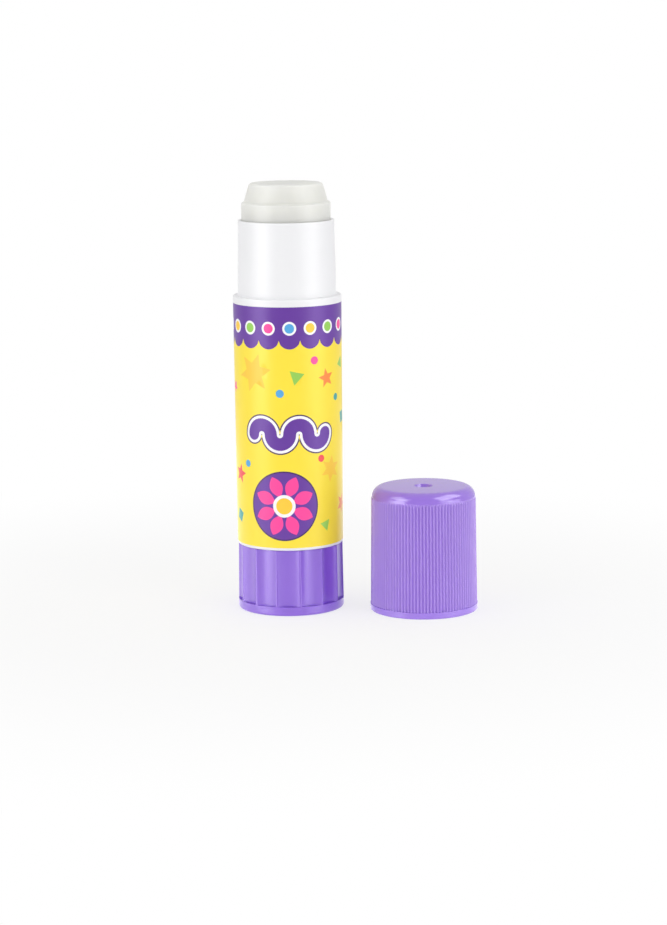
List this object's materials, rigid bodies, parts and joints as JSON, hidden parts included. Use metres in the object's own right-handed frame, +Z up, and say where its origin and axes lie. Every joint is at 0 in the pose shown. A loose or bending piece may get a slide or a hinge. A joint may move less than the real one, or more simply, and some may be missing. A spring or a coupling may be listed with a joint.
{
  "type": "glue stick",
  "caption": "Twist-up glue stick: fluted knob with lead screw, carrier and glue column in a labelled tube with a stepped neck, and a ribbed push-on cap stood beside it.",
  "frame": {"origin": "middle of the knob's flat foot, on the surface that the stick stands on", "axes": "+Z up along the stick's axis, +X from the stick's axis towards the cap that stands beside it"},
  "size_m": [0.0534, 0.0238, 0.0939],
  "materials": {
    "tube_plastic": "satin moulded white polypropylene",
    "label_film": "gloss printed film, yellow",
    "knob_plastic": "satin moulded purple polypropylene",
    "screw_plastic": "satin moulded natural white polypropylene",
    "glue": "waxy translucent solid adhesive",
    "cap_plastic": "satin moulded purple polypropylene"
  },
  "bodies": {
    "tube": {"tube": "tube_plastic", "label": "label_film"},
    "knob": {"knob": "knob_plastic", "spindle": "screw_plastic"},
    "carrier": {"carrier": "screw_plastic", "glue_column": "glue"},
    "cap": {"cap": "cap_plastic"}
  },
  "joints": [
    {"name": "knob_twist", "type": "hinge", "parent": "tube", "child": "knob", "pos_m": [0, 0, 0.0142], "axis": [0, 0, 1], "range_deg": [-360, 2520]},
    {"name": "carrier_lift", "type": "slide", "parent": "tube", "child": "carrier", "axis": [0, 0, 1], "range_m": [-0.006, 0.042]},
    {"name": "cap_lift", "type": "slide", "parent": "tube", "child": "cap", "axis": [0, 0, 1], "range_m": [0, 0.04]}
  ],
  "couplings": [
    {"joint": "knob_twist", "follows": "carrier_lift", "rad_per_m": 1047.2}
  ]
}
